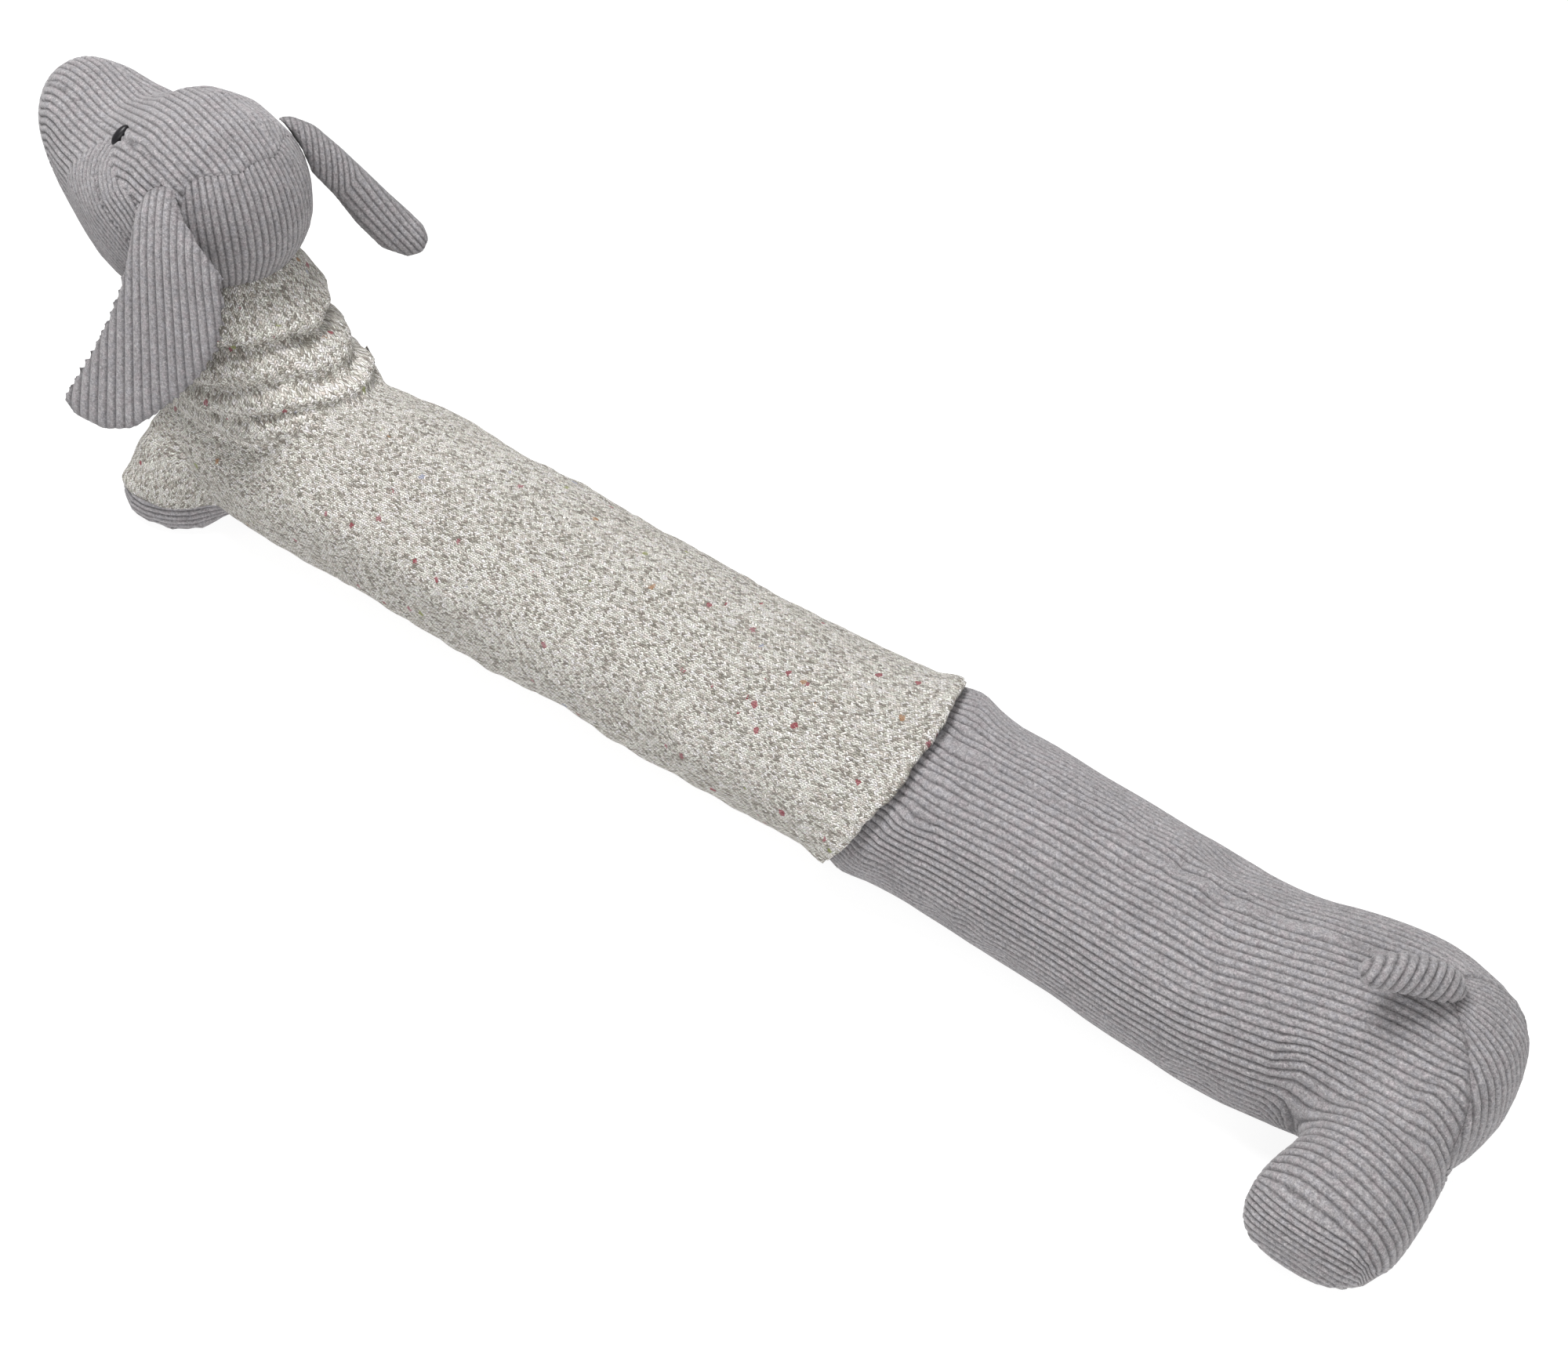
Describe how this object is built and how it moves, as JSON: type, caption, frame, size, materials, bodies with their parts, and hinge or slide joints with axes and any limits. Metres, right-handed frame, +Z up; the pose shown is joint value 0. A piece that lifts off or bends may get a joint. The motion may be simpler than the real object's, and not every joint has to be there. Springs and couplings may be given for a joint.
{
  "type": "draught excluder",
  "caption": "Dachshund-shaped stuffed draught excluder in grey jumbo corduroy, wearing a flecked knitted roll-neck jumper.",
  "frame": {"origin": "middle of the footprint on the surface that it lies on", "axes": "+Z up, the nose towards -X, the tail towards +X, the left flank towards -Y"},
  "size_m": [0.926, 0.2092, 0.2584],
  "materials": {
    "cord": "jumbo corduroy, soft raised wales",
    "knit": "marled knit with small coloured flecks",
    "bead": "glossy"
  },
  "bodies": {
    "root": {"body": "cord", "head": "cord", "ear_left": "cord", "ear_right": "cord", "tail": "cord", "jumper": "knit", "eye_left": "bead", "eye_right": "bead", "nose": "bead"}
  },
  "joints": []
}
